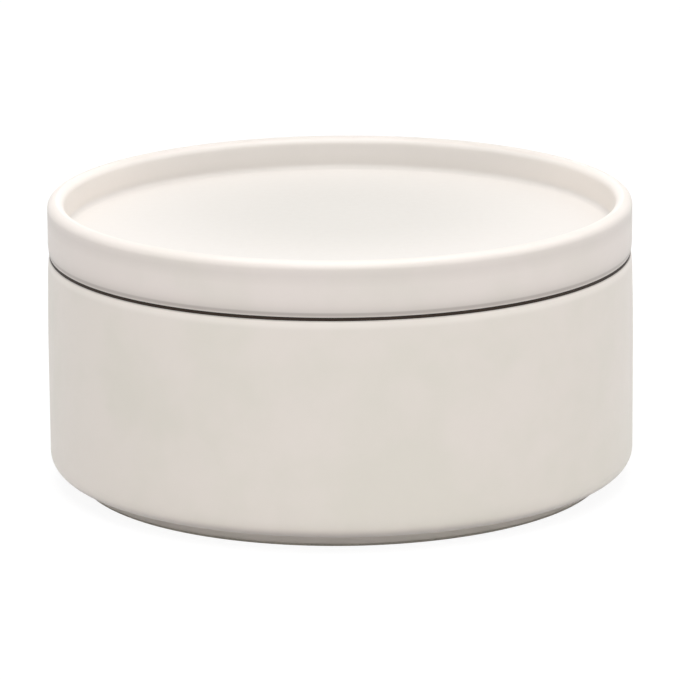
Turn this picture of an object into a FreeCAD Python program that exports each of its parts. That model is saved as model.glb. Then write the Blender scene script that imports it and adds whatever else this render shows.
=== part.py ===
"""Round stoneware storage jar: a jar on a foot ring, a tray-topped lid with a collar, and a soft seal ring.

Frame: millimetres, +Z up, origin on the table at the centre of the foot ring.
Every piece is turned about the Z axis. The jar is drawn from the table up. The lid is drawn from its own
lower edge and the seal ring from the jar's rim, and both are placed by the height of that rim.
Soft edges are turned in a few straight steps with their corners on a quarter circle. Small edges are
bevelled.
"""

import FreeCAD, Part
import math
import os

import Sketcher

# Driving dimensions, in millimetres, with what each one measures
SIZES = [
    ("body_diameter", 155.0, "outside of the jar at its widest"),
    ("rim_height", 61.0, "table to the top of the jar's rim"),
    ("wall_thickness", 5.0, "jar wall"),
    ("base_thickness", 5.0, "jar floor above the hollow in the foot"),
    ("corner_radius", 5.0, "outside corner where the wall turns under"),
    ("hollow_radius", 8.0, "inside corner between wall and floor"),
    ("draw_height", 17.0, "jar's rim down to where its wall begins to draw in"),
    ("draw_inset", 0.38, "how far the wall has drawn in at the foot of the lip"),
    ("lip_height", 2.4, "height of the leaning lip below the jar's rim"),
    ("lip_inset", 0.36, "how far the lip leans in"),
    ("mouth_bevel", 1.0, "inside edge of the jar's rim, which leads the seal ring in"),
    ("foot_height", 3.5, "table to the underside of the wall"),
    ("foot_width", 6.0, "width of the foot ring"),
    ("foot_hollow", 2.2, "depth of the hollow inside the foot ring"),
    ("foot_bevel", 0.8, "outside edge of the foot ring"),
    ("foot_shelf", 1.8, "least flat underside between the wall's corner and the foot"),
    ("lid_height", 14.1, "lid's lower edge to the top of its rim"),
    ("lid_inset", 0.42, "outside of the jar at its widest to the outside of the lid"),
    ("lid_edge_rise", 2.4, "height of the leaning lower edge of the lid"),
    ("lid_edge_inset", 0.35, "how far that edge leans in"),
    ("tray_depth", 8.7, "top of the lid's rim to the tray's floor"),
    ("tray_rim_width", 4.5, "width of the lid's raised rim"),
    ("tray_rim_rounding", 2.1, "both edges of the lid's raised rim"),
    ("tray_corner", 1.6, "inside corner between the tray's floor and its rim"),
    ("stack_clearance", 1.1, "foot ring of a second jar to the corner of the tray it stands in"),
    ("plate_thickness", 4.8, "lid between the tray's floor and the hollow of the collar"),
    ("collar_thickness", 4.5, "collar under the lid"),
    ("collar_toe", 2.0, "how far the collar reaches below the seal ring"),
    ("collar_bevel", 1.2, "lower edges of the collar"),
    ("ring_fit", 0.1, "seal ring to the collar and the groove that hold it"),
    ("bead_depth", 1.0, "how far the ring's bead stands into the groove"),
    ("bead_width", 3.0, "height of the ring's bead"),
    ("flange_thickness", 0.9, "seal flange between the jar's rim and the lid"),
    ("flange_inset", 0.1, "edge of the jar's lip to the edge of the flange"),
    ("skirt_thickness", 1.5, "wall of the seal ring round the collar"),
    ("skirt_toe", 1.4, "how far that wall reaches below the lowest fin"),
    ("fin_count", 2, "number of sealing fins"),
    ("fin_reach", 1.7, "how far a fin stands out from the ring's wall"),
    ("fin_clearance", 0.3, "fin's tip to the jar's wall"),
    ("fin_root", 1.2, "thickness of a fin at the ring's wall"),
    ("fin_tip", 0.6, "thickness of a fin at its tip"),
    ("fin_rise", 0.8, "how much higher a fin's tip lies than its root"),
    ("fin_gap", 1.8, "clear height between one fin's root and the next"),
    ("fin_drop", 2.2, "lower end of the mouth's bevel to the underside of the top fin"),
]

# Radii that more than one piece shares
BODY_R = "Sizes.body_diameter / 2"
NECK_R = f"({BODY_R} - Sizes.draw_inset)"
LIP_R = f"({NECK_R} - Sizes.lip_inset)"
MOUTH_R = f"({BODY_R} - Sizes.wall_thickness)"
LID_R = f"({BODY_R} - Sizes.lid_inset)"
TRAY_R = f"({LID_R} - Sizes.tray_rim_width)"
TRAY_INSET = "Sizes.lid_inset + Sizes.tray_rim_width + Sizes.tray_corner + Sizes.stack_clearance"
CORNER_INSET = "Sizes.corner_radius + Sizes.foot_shelf"
FOOT_INSET = f"max({TRAY_INSET}; {CORNER_INSET})"
FOOT_OUT_R = f"({BODY_R} - {FOOT_INSET})"
FOOT_IN_R = f"({FOOT_OUT_R} - Sizes.foot_width)"
FIN_TIP_R = f"({MOUTH_R} - Sizes.fin_clearance)"
SKIRT_OUT_R = f"({FIN_TIP_R} - Sizes.fin_reach)"
SKIRT_IN_R = f"({SKIRT_OUT_R} - Sizes.skirt_thickness)"
COLLAR_OUT_R = f"({SKIRT_IN_R} - Sizes.ring_fit)"
COLLAR_IN_R = f"({COLLAR_OUT_R} - Sizes.collar_thickness)"

# Depths below the jar's rim
DRAW_DEPTH = "min(Sizes.draw_height; Sizes.rim_height / 2)"
LIP_DEPTH = f"min(Sizes.lip_height; {DRAW_DEPTH} / 2)"
FIN_PITCH = "(Sizes.fin_root + Sizes.fin_gap)"
FIN_STACK = f"((Sizes.fin_count - 1) * {FIN_PITCH})"
TOP_FIN_DEPTH = "(Sizes.mouth_bevel + Sizes.fin_drop)"
SKIRT_DEPTH = f"({TOP_FIN_DEPTH} + {FIN_STACK} + Sizes.skirt_toe)"
BEAD_DEPTH_DOWN = f"({SKIRT_DEPTH} / 2)"

# A soft or bevelled edge takes at most this share of each wall that carries it
EDGE_SHARE = 0.48
# How many straight steps take a soft edge through its quarter circle
SOFT_STEP_COUNT = 2
ROUND_STEP_COUNT = 3
# Which way from its corner the centre of a soft edge lies, and which ways are across the axis
TOWARDS = {"in": "-", "out": "+", "down": "-", "up": "+"}
ACROSS = ("in", "out")

# How close an edge lies to its drawn corner to be taken for it
CORNER_TOLERANCE = 0.001
# How close, in cubic millimetres, the row of fins comes to its number of equal fins
VOLUME_TOLERANCE = 0.01
# On the axis for a radius, and on the plane that the piece is drawn from for a height
ZERO = "0"
# How a corner is held from the sketch's origin: at a distance, or in line with it
HOLDS = {"radius": ("DistanceX", "Vertical"), "height": ("DistanceY", "Horizontal")}

doc = FreeCAD.newDocument("StorageJar")
sheet = doc.addObject("Spreadsheet::Sheet", "Sizes")
for row, (alias, value, meaning) in enumerate(SIZES, start=1):
    sheet.set(f"A{row}", alias)
    sheet.set(f"B{row}", str(value))
    sheet.set(f"C{row}", meaning)
    sheet.setAlias(f"B{row}", alias)
doc.recompute()


def within(edge, *walls):
    """The expression for an edge's size that is never more than its share of the walls that carry it."""
    shares = "; ".join(f"{EDGE_SHARE} * {wall}" for wall in walls)
    return f"min({edge}; {shares})"


def new_body(name, height=None):
    """A piece with its name, on the table or at a height above it."""
    body = doc.addObject("PartDesign::Body", name)
    body.Label = name
    if height:
        body.setExpression("Placement.Base.z", height)
    return body


def softened(corner, radius, height, size, back, ahead, steps):
    """The corners that take the place of one soft corner, from the side before it to the side after it.

    They lie on a quarter circle whose centre is back along the side that comes in and ahead along the
    side that goes out. Each falls short of the corner along the first and is past it along the second.
    """
    points = []
    for step in range(steps + 1):
        angle = 90 * step / steps
        short = f"{TOWARDS[back]} {size} * (1 - sin({angle} deg))"
        past = f"{TOWARDS[ahead]} {size} * (1 - cos({angle} deg))"
        across, along = (short, past) if back in ACROSS else (past, short)
        points.append((f"{corner}_{step}", f"{radius} {across}", f"{height} {along}"))
    return points


def hold(sketch, index, corner, way, distance):
    """Hold a corner, the start of one side, at its radius or its height from the sketch's origin."""
    at_distance, in_line = HOLDS[way]
    if distance == ZERO:
        sketch.addConstraint(Sketcher.Constraint(in_line, -1, 1, index, 1))
        return
    start = sketch.getPoint(index, 1)
    drawn = start.x if way == "radius" else start.y
    number = sketch.addConstraint(Sketcher.Constraint(at_distance, -1, 1, index, 1, drawn))
    label = f"{corner}_{way}"
    sketch.renameConstraint(number, label)
    sketch.setExpression(f"Constraints.{label}", distance)


def section(body, name, corners):
    """A closed section in the plane of the axis, each corner named, with its radius and its height.

    A soft corner also gives its size, which ways its centre lies (back along the side that comes in, then
    ahead along the side that goes out), and its number of steps. The corners start spread round a circle,
    in order, and move to their places as they are held.
    """
    sketch = body.newObject("Sketcher::SketchObject", name)
    roles = {feature.Role: feature for feature in body.Origin.OriginFeatures}
    sketch.AttachmentSupport = [(roles["XZ_Plane"], "")]
    sketch.MapMode = "FlatFace"
    points = []
    for corner in corners:
        points += [corner] if len(corner) == 3 else softened(*corner)
    count = len(points)
    spread = sheet.get("body_diameter")
    ring = []
    for index in range(count):
        angle = 2 * math.pi * index / count
        ring.append(FreeCAD.Vector(spread * math.cos(angle), spread * math.sin(angle), 0))
    for index in range(count):
        sketch.addGeometry(Part.LineSegment(ring[index], ring[(index + 1) % count]), False)
    for index in range(count):
        sketch.addConstraint(Sketcher.Constraint("Coincident", index, 2, (index + 1) % count, 1))
    for index, (corner, radius, height) in enumerate(points):
        hold(sketch, index, corner, "radius", radius)
        hold(sketch, index, corner, "height", height)
    doc.recompute()
    places = {corner: sketch.getPoint(index, 1) for index, (corner, _, _) in enumerate(points)}
    return sketch, places


def turn(body, kind, name, sketch):
    """Turn a section through a full circle about the axis, to add to the piece or to cut it."""
    before = body.Shape.Volume if body.Tip else 0.0
    feature = body.newObject(f"PartDesign::{kind}", name)
    feature.Profile = (sketch, [""])
    feature.ReferenceAxis = (sketch, ["V_Axis"])
    feature.Angle = 360.0
    doc.recompute()
    grown = feature.Shape.Volume > before
    if grown != (kind == "Revolution"):
        raise RuntimeError(f"{name} did not change {body.Label} as it should")
    return feature


def edge_at(shape, place):
    """The name of the turned edge that passes through a corner of the section."""
    for number, edge in enumerate(shape.Edges, start=1):
        curve = edge.Curve
        if not isinstance(curve, Part.Circle):
            continue
        off_radius = abs(curve.Radius - place.x)
        off_height = abs(curve.Center.z - place.y)
        if max(off_radius, off_height) < CORNER_TOLERANCE:
            return f"Edge{number}"
    raise RuntimeError(f"no edge at radius {place.x:.3f}, height {place.y:.3f}")


def bevel(body, name, places, size):
    """Bevel the turned edges at the given corners."""
    base = body.Tip
    chamfer = body.newObject("PartDesign::Chamfer", name)
    chamfer.Base = (base, [edge_at(base.Shape, place) for place in places])
    chamfer.setExpression("Size", size)
    doc.recompute()
    return chamfer


def make_jar_body():
    """The jar: a wall that draws in to its lip, a flat floor, and a ring foot drawn in under the wall."""
    body = new_body("jar_body")
    floor = "Sizes.foot_hollow + Sizes.base_thickness"
    sketch, at = section(body, "jar_section", [
        ("hollow_centre", ZERO, "Sizes.foot_hollow"),
        ("hollow_edge", FOOT_IN_R, "Sizes.foot_hollow"),
        ("foot_inside", FOOT_IN_R, ZERO),
        ("foot_outside", FOOT_OUT_R, ZERO),
        ("foot_top", FOOT_OUT_R, "Sizes.foot_height"),
        ("wall_foot", BODY_R, "Sizes.foot_height", "Sizes.corner_radius", "in", "up", ROUND_STEP_COUNT),
        ("draw_start", BODY_R, f"Sizes.rim_height - {DRAW_DEPTH}"),
        ("lip_foot", NECK_R, f"Sizes.rim_height - {LIP_DEPTH}"),
        ("rim_outside", LIP_R, "Sizes.rim_height"),
        ("rim_inside", MOUTH_R, "Sizes.rim_height"),
        ("floor_edge", MOUTH_R, floor, "Sizes.hollow_radius", "up", "in", ROUND_STEP_COUNT),
        ("floor_centre", ZERO, floor),
    ])
    turn(body, "Revolution", "jar_wall", sketch)
    mouth = within("Sizes.mouth_bevel", "Sizes.wall_thickness")
    bevel(body, "mouth_bevel", [at["rim_inside"]], mouth)
    foot = within("Sizes.foot_bevel", "Sizes.foot_height", "Sizes.foot_width")
    bevel(body, "foot_bevel", [at["foot_outside"]], foot)
    return body


def make_lid():
    """The lid: a shallow tray with a rolled rim, over a collar with a groove for the seal ring."""
    body = new_body("lid", "Sizes.rim_height + Sizes.flange_thickness")
    collar_end = f"-(Sizes.flange_thickness + {SKIRT_DEPTH} + Sizes.collar_toe)"
    tray_floor = "Sizes.lid_height - Sizes.tray_depth"
    plate_under = f"{tray_floor} - Sizes.plate_thickness"
    rise = within("Sizes.lid_edge_rise", "Sizes.lid_height")
    rim = within("Sizes.tray_rim_rounding", "Sizes.tray_rim_width", "Sizes.tray_depth")
    corner = within("Sizes.tray_corner", "Sizes.tray_depth")
    sketch, at = section(body, "lid_section", [
        ("plate_centre", ZERO, plate_under),
        ("plate_edge", COLLAR_IN_R, plate_under),
        ("collar_inside", COLLAR_IN_R, collar_end),
        ("collar_outside", COLLAR_OUT_R, collar_end),
        ("collar_root", COLLAR_OUT_R, ZERO),
        ("lid_edge", f"{LID_R} - Sizes.lid_edge_inset", ZERO),
        ("lid_side", LID_R, rise),
        ("rim_outside", LID_R, "Sizes.lid_height", rim, "down", "in", ROUND_STEP_COUNT),
        ("rim_inside", TRAY_R, "Sizes.lid_height", rim, "out", "down", ROUND_STEP_COUNT),
        ("tray_edge", TRAY_R, tray_floor, corner, "up", "in", SOFT_STEP_COUNT),
        ("tray_centre", ZERO, tray_floor),
    ])
    turn(body, "Revolution", "lid_plate", sketch)
    middle = f"(Sizes.flange_thickness + {BEAD_DEPTH_DOWN})"
    opening = "(Sizes.bead_width / 2 + Sizes.ring_fit)"
    cut, _ = section(body, "groove_section", [
        ("floor", f"{COLLAR_OUT_R} - Sizes.bead_depth", f"-{middle}"),
        ("lip_low", COLLAR_OUT_R, f"-({middle} + {opening})"),
        ("lip_top", COLLAR_OUT_R, f"{opening} - {middle}"),
    ])
    turn(body, "Groove", "seal_groove", cut)
    collar = within("Sizes.collar_bevel", "Sizes.collar_thickness")
    bevel(body, "collar_bevel", [at["collar_outside"], at["collar_inside"]], collar)
    return body


def make_seal_ring():
    """The seal ring: a flange on the jar's rim, a wall round the collar, a bead inside and fins outside."""
    body = new_body("seal_ring", "Sizes.rim_height")
    flange_r = f"{LIP_R} - Sizes.flange_inset"
    sketch, _ = section(body, "ring_section", [
        ("top_inside", SKIRT_IN_R, "Sizes.flange_thickness"),
        ("skirt_inside", SKIRT_IN_R, f"-{SKIRT_DEPTH}"),
        ("skirt_outside", SKIRT_OUT_R, f"-{SKIRT_DEPTH}"),
        ("flange_root", SKIRT_OUT_R, ZERO),
        ("flange_low", flange_r, ZERO),
        ("flange_top", flange_r, "Sizes.flange_thickness"),
    ])
    turn(body, "Revolution", "ring_wall", sketch)
    half_bead = "Sizes.bead_width / 2"
    bead, _ = section(body, "bead_section", [
        ("tip", f"{SKIRT_IN_R} - Sizes.bead_depth", f"-{BEAD_DEPTH_DOWN}"),
        ("root_low", SKIRT_IN_R, f"-({BEAD_DEPTH_DOWN} + {half_bead})"),
        ("root_top", SKIRT_IN_R, f"{half_bead} - {BEAD_DEPTH_DOWN}"),
    ])
    turn(body, "Revolution", "bead", bead)
    in_wall = f"{SKIRT_OUT_R} - Sizes.skirt_thickness / 2"
    fin, _ = section(body, "fin_section", [
        ("root_low", in_wall, f"-{TOP_FIN_DEPTH}"),
        ("wall_low", SKIRT_OUT_R, f"-{TOP_FIN_DEPTH}"),
        ("tip_low", FIN_TIP_R, f"Sizes.fin_rise - {TOP_FIN_DEPTH}"),
        ("tip_top", FIN_TIP_R, f"Sizes.fin_rise + Sizes.fin_tip - {TOP_FIN_DEPTH}"),
        ("wall_top", SKIRT_OUT_R, f"Sizes.fin_root - {TOP_FIN_DEPTH}"),
        ("root_top", in_wall, f"Sizes.fin_root - {TOP_FIN_DEPTH}"),
    ])
    plain = body.Shape.Volume
    top_fin = turn(body, "Revolution", "top_fin", fin)
    one_fin = body.Shape.Volume - plain
    fins = body.newObject("PartDesign::LinearPattern", "fins")
    fins.Originals = [top_fin]
    fins.Direction = (fin, ["V_Axis"])
    fins.Reversed = True
    fins.setExpression("Length", FIN_STACK)
    fins.setExpression("Occurrences", "Sizes.fin_count")
    body.Tip = fins
    doc.recompute()
    missing = plain + sheet.get("fin_count") * one_fin - fins.Shape.Volume
    if abs(missing) > VOLUME_TOLERANCE:
        raise RuntimeError(f"the row of fins is {missing:.2f} mm3 short of its number of fins")
    return body


pieces = [make_jar_body(), make_lid(), make_seal_ring()]
doc.recompute()

for part in doc.Objects:
    failed = {"Invalid", "Error"} & set(part.State)
    if failed:
        raise RuntimeError(f"{part.Name} is {', '.join(sorted(failed))}")
for piece in pieces:
    if piece.Shape.isNull() or not piece.Shape.isValid():
        raise RuntimeError(f"{piece.Label} has no valid shape")
    if len(piece.Shape.Solids) != 1:
        raise RuntimeError(f"{piece.Label} has {len(piece.Shape.Solids)} solids")

os.makedirs("parts", exist_ok=True)
for piece in pieces:
    piece.Shape.exportStep(f"parts/{piece.Label}.step")
    box = piece.Shape.optimalBoundingBox()
    print(f"{piece.Label}: across {box.XLength:.2f}, from {box.ZMin:.2f} to {box.ZMax:.2f}, "
          f"volume {piece.Shape.Volume / 1000:.1f} cm3")
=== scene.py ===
"""Looks of a round stoneware storage jar: glazed jar, tray lid with its collar, and soft seal ring.

Frame: metres, +Z up, origin on the table at the centre of the foot ring. Every piece is a surface of
revolution about Z, worked out from a section whose corners are turned into soft edges.
"""

import logging
import math
from dataclasses import dataclass
from enum import Enum
from typing import Union

import bpy
import numpy as np
from mathutils import Matrix, Vector


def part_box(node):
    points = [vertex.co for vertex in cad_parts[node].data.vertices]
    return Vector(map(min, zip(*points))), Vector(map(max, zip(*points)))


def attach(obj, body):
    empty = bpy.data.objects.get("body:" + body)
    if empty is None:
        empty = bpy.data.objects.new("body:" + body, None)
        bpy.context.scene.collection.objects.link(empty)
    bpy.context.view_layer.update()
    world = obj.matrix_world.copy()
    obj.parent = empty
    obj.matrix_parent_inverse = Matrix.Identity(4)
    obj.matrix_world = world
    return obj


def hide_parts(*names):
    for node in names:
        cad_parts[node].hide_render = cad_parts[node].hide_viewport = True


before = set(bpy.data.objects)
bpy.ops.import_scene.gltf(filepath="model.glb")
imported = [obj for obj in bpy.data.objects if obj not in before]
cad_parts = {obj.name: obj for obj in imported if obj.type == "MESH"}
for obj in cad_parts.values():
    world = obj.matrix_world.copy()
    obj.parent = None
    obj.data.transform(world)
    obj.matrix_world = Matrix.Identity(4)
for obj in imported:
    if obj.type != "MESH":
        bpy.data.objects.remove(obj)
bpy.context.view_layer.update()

LOG = logging.getLogger("storage_jar")
MM = 0.001

# Three linear colour numbers, and what a shader's socket takes
Colour = tuple[float, float, float]
Value = Union[bpy.types.NodeSocket, Colour, float]


@dataclass(frozen=True)
class Solid:
    """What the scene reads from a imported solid.

    Attributes:
        radius: its outside radius, in metres.
        bottom: its lowest height, in metres.
        top: its highest height, in metres.
    """

    radius: float
    bottom: float
    top: float


class Node(Enum):
    """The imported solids, by node name."""

    JAR = "jar_body"
    LID = "lid"
    RING = "seal_ring"

    def solid(self) -> Solid:
        """The measures of the solid, from its box in the frame."""
        low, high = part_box(self.value)
        return Solid(high.x, low.z, high.z)


class Body(Enum):
    """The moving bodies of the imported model."""

    JAR = "jar"
    LID = "lid"


class Slot(Enum):
    """The record's material slots."""

    JAR_GLAZE = "jar_glaze"
    LID_GLAZE = "lid_glaze"
    SILICONE = "seal_silicone"


class Trait(Enum):
    """Per-point attributes that the finishes read, each from 0 to 1."""

    BARE = "bare_clay"
    # Wear on the silicone's edges, and painted highlight on the glaze
    EDGE_WEAR_AND_HIGHLIGHT = "edge_break"
    # Greyer glaze in the jar's hollows, and painted shade on the lid's tray
    GREYED = "glaze_pool"
    # The lid's tray, where it gets its painted wash
    TRAY_TINT = "glaze_thick"
    # Painted shade: a darker grey where shade falls
    PAINTED_SHADE = "glaze_run_off"


@dataclass(frozen=True)
class Ramp:
    """A smooth change over a stretch.

    Attributes:
        start: where the change starts.
        end: where it is complete.
    """

    start: float
    end: float

    def up(self, value: np.ndarray, origin: float = 0.0) -> np.ndarray:
        """A rise from 0 at the start to 1 at the end: 3 t t - 2 t t t, with t the share of the way.

        Args:
            value: the places to work it out for.
            origin: the place that start and end are counted from.

        Returns:
            The rise at each place.
        """
        share = np.clip((value - origin - self.start) / (self.end - self.start), 0.0, 1.0)
        return share * share * (3 - 2 * share)

    def down(self, value: np.ndarray, origin: float = 0.0) -> np.ndarray:
        """A fall from 1 at the start to 0 at the end, which is 1 less the rise."""
        return 1 - self.up(value, origin)


@dataclass(frozen=True)
class Corner:
    """One corner of a section, with the reach of its soft edge along both of its sides.

    Attributes:
        radius: distance from the axis, in metres.
        height: height in the frame, in metres.
        size: how far the soft edge reaches along each side, in metres.
    """

    radius: float
    height: float
    size: float = 0.0


@dataclass(frozen=True)
class Outline:
    """A section drawn through its points, with what the finishes need along it.

    Attributes:
        points: (n, 2) array of radius and height, in metres.
        turn: (n,) array, how sharply the outline turns, 1 on an outer edge and -1 in a hollow.
        closed: whether the last point joins the first, with no point on the axis.
    """

    points: np.ndarray
    turn: np.ndarray
    closed: bool

    @property
    def radius(self) -> np.ndarray:
        """The radius of every point."""
        return self.points[:, 0]

    @property
    def height(self) -> np.ndarray:
        """The height of every point."""
        return self.points[:, 1]

    @property
    def edges(self) -> np.ndarray:
        """How far every point lies on an outer edge, from 0 to 1."""
        return np.clip(self.turn, 0.0, 1.0)

    @property
    def hollows(self) -> np.ndarray:
        """How far every point lies in a hollow, from 0 to 1."""
        return np.clip(-self.turn, 0.0, 1.0)


@dataclass(frozen=True)
class Tracer:
    """Turns section corners into an outline with soft edges.

    Attributes:
        arc_steps: points on each soft edge.
        spacing: widest distance between points on a straight side, in metres.
        blur: length over which the turning is averaged for the finishes, in metres.
        same_place: points closer together than this count as one, in metres.
    """

    arc_steps: int = 13
    spacing: float = 1.6 * MM
    blur: float = 1.1 * MM
    same_place: float = 0.0001 * MM

    def trace(self, corners: list[Corner], closed: bool = False) -> Outline:
        """Draw the outline through its corners.

        On each corner P, with u the direction in and v the direction out, the soft edge is
        P - size * u * (1 - sin t) + size * v * (1 - cos t), for t from 0 to a quarter turn. It leaves both
        sides smoothly, and is a quarter circle where the sides are square.

        Args:
            corners: the section's corners in order, from the underside round the outside to the top.
            closed: whether the section is a loop away from the axis.

        Returns:
            The outline, evenly filled on its straight sides.
        """
        place = np.array([(corner.radius, corner.height) for corner in corners])
        size = np.array([corner.size for corner in corners])[:, None]
        back = place - np.roll(place, 1, axis=0)
        ahead = np.roll(place, -1, axis=0) - place
        u = back / np.linalg.norm(back, axis=1)[:, None]
        v = ahead / np.linalg.norm(ahead, axis=1)[:, None]
        t = np.linspace(0.0, math.pi / 2, self.arc_steps)
        pull_in = (size * (1 - np.sin(t)))[:, :, None] * u[:, None, :]
        push_out = (size * (1 - np.cos(t)))[:, :, None] * v[:, None, :]
        drawn = (place[:, None, :] - pull_in + push_out).reshape(-1, 2)
        if closed:
            drawn = np.vstack([drawn, drawn[:1]])
        step = np.linalg.norm(np.diff(drawn, axis=0), axis=1)
        drawn = drawn[np.concatenate([[True], step > self.same_place])]
        along = np.concatenate([[0.0], np.cumsum(np.linalg.norm(np.diff(drawn, axis=0), axis=1))])
        filled = self._fill(along)
        points = np.stack([np.interp(filled, along, column) for column in drawn.T], axis=1)
        turn = self._turning(points, filled, closed)
        if closed:
            points, turn = points[:-1], turn[:-1]
        return Outline(points, turn, closed)

    def _fill(self, along: np.ndarray) -> np.ndarray:
        """Distances along the outline: the drawn points, with even ones between those far apart."""
        gaps = np.diff(along)
        counts = np.maximum(1, np.ceil(gaps / self.spacing)).astype(int)
        starts = np.repeat(along[:-1], counts)
        steps = np.repeat(gaps / counts, counts)
        first = np.repeat(np.cumsum(counts) - counts, counts)
        order = np.arange(counts.sum()) - first
        return np.concatenate([starts + order * steps, along[-1:]])

    def _turning(self, points: np.ndarray, along: np.ndarray, closed: bool) -> np.ndarray:
        """How sharply the outline turns, averaged over the blur length with a bell-shaped weight."""
        side = np.diff(points, axis=0)
        heading = np.unwrap(np.arctan2(side[:, 1], side[:, 0]))
        bend = np.concatenate([[0.0], np.diff(heading), [0.0]])
        if closed:
            wrap = (heading[0] - heading[-1] + math.pi) % (2 * math.pi) - math.pi
            bend[0] = bend[-1] = wrap
        apart = along[:, None] - along[None, :]
        weight = np.exp(-0.5 * (apart / self.blur) ** 2)
        return np.clip(weight @ bend, -1.0, 1.0)


@dataclass(frozen=True)
class Swell:
    """One slow wave in the surface of a cast and fettled piece.

    Attributes:
        lobes: how many waves go round.
        start: how far along the wave starts, in radians.
        climb: how much further along it is for each metre of height, in radians.
    """

    lobes: int
    start: float
    climb: float

    def at(self, angle: np.ndarray, height: np.ndarray) -> np.ndarray:
        """How far out the wave stands, from -1 to 1: the sine of lobes * angle + start + climb * height."""
        return np.sin(self.lobes * angle + self.start + self.climb * height)


@dataclass(frozen=True)
class Lathe:
    """Turns an outline about the axis into a closed mesh.

    Attributes:
        steps: how many steps go round.
        wave: depth of the slight unevenness of a cast and fettled surface, in metres.
        even_inside: radius inside which the unevenness fades out towards the axis, in metres.
        swells: the slow waves that the unevenness is the sum of.
    """

    steps: int = 288
    wave: float = 0.03 * MM
    even_inside: float = 10.0 * MM
    swells: tuple[Swell, ...] = (Swell(2, 1.1, 34.0), Swell(3, 4.0, -51.0), Swell(7, 2.3, 90.0))

    def spin(self, name: str, outline: Outline, traits: dict[Trait, np.ndarray]) -> bpy.types.Object:
        """Make the piece.

        A point at angle a on outline point i lies at (r_i cos a, r_i sin a, z_i), moved into the material
        along the outline's own normal by the unevenness.

        Args:
            name: the piece's name.
            outline: the section.
            traits: values that the finishes read, for each outline point, or for each step round as well.

        Returns:
            The object, at the origin, with its place in its mesh.
        """
        angle = self.angles()
        moved = outline.points[:, None, :] + self._inward(outline)[:, None, :] * self._unevenness(outline)
        radius = moved[:, :, 0]
        mesh_points = np.stack([radius * np.cos(angle), radius * np.sin(angle), moved[:, :, 1]], axis=2)
        ring = np.arange(radius.size).reshape(radius.shape)
        full = {trait: self._all_round(value) for trait, value in traits.items()}
        if outline.closed:
            flat = mesh_points.reshape(-1, 3)
            faces = self._quads(np.vstack([ring, ring[:1]])).tolist()
            values = {trait: value.ravel() for trait, value in full.items()}
        else:
            flat, faces, values = self._with_poles(mesh_points, ring, full)
        mesh = bpy.data.meshes.new(name)
        mesh.from_pydata(flat.tolist(), [], faces)
        mesh.validate()
        mesh.polygons.foreach_set("use_smooth", np.ones(len(mesh.polygons), dtype=bool))
        for trait, value in values.items():
            layer = mesh.attributes.new(trait.value, "FLOAT", "POINT")
            layer.data.foreach_set("value", value.astype(np.float32))
        mesh.update()
        piece = bpy.data.objects.new(name, mesh)
        bpy.context.scene.collection.objects.link(piece)
        return piece

    def angles(self) -> np.ndarray:
        """The angle of every step round, in radians from the X axis."""
        return np.linspace(0.0, 2 * math.pi, self.steps, endpoint=False)

    def _inward(self, outline: Outline) -> np.ndarray:
        """The way into the material at each outline point, square to the line between its neighbours."""
        points = outline.points
        ahead = np.roll(points, -1, axis=0) - np.roll(points, 1, axis=0)
        if not outline.closed:
            ahead[0], ahead[-1] = points[1] - points[0], points[-1] - points[-2]
        ahead /= np.linalg.norm(ahead, axis=1)[:, None]
        return np.stack([-ahead[:, 1], ahead[:, 0]], axis=1)

    def _unevenness(self, outline: Outline) -> np.ndarray:
        """Depth below the true surface for each outline point and angle, never above it and 0 on the axis.

        It is half the wave, times one plus the mean of the swells.
        """
        angle, height = self.angles()[None, :], outline.height[:, None]
        waves = sum(swell.at(angle, height) for swell in self.swells)
        fade = np.clip(outline.radius[:, None] / self.even_inside, 0.0, 1.0)
        depth = self.wave * 0.5 * (1 + waves / len(self.swells)) * fade
        return depth[:, :, None]

    def _all_round(self, value: np.ndarray) -> np.ndarray:
        """A trait for every point: one value per row is the same all round, a full table stays as it is."""
        return value if value.ndim == 2 else np.repeat(value[:, None], self.steps, axis=1)

    def _quads(self, ring: np.ndarray) -> np.ndarray:
        """Faces between neighbouring rows, each taken first round and then along, so that they face out."""
        low, high = ring[:-1], ring[1:]
        corners = [low, np.roll(low, -1, axis=1), np.roll(high, -1, axis=1), high]
        return np.stack(corners, axis=2).reshape(-1, 4)

    def _with_poles(self, mesh_points: np.ndarray, ring: np.ndarray,
                    full: dict[Trait, np.ndarray]) -> tuple[np.ndarray, list, dict]:
        """Close both ends on the axis with one point each and a fan of triangles.

        Args:
            mesh_points: points of every row, of which the first and last lie on the axis.
            ring: their numbers.
            full: each trait's value for every row and step.

        Returns:
            All points, all faces, and each trait's value for every point.
        """
        inner = mesh_points[1:-1].reshape(-1, 3)
        first, last = ring[1] - self.steps, ring[-2] - self.steps
        low_pole, high_pole = len(inner), len(inner) + 1
        flat = np.vstack([inner, mesh_points[0, :1], mesh_points[-1, :1]])
        quads = self._quads(ring[1:-1] - self.steps)
        low_fan = np.stack([np.full(self.steps, low_pole), np.roll(first, -1), first], axis=1)
        high_fan = np.stack([np.full(self.steps, high_pole), last, np.roll(last, -1)], axis=1)
        faces = quads.tolist() + low_fan.tolist() + high_fan.tolist()
        values = {
            trait: np.concatenate([value[1:-1].ravel(), value[0, :1], value[-1, :1]])
            for trait, value in full.items()
        }
        return flat, faces, values


@dataclass(frozen=True)
class Noise:
    """Smooth noise over a piece's own coordinates, about 0.5 on average.

    Attributes:
        scale: waves per metre.
        detail: how many finer layers are added.
        roughness: weight of the finer layers.
    """

    scale: float
    detail: float
    roughness: float


class Blend(Enum):
    """What a mix node blends: its own name for it, then the numbers of its two inputs and its output."""

    NUMBER = ("FLOAT", 2, 3, 0)
    COLOUR = ("RGBA", 6, 7, 2)


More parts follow.
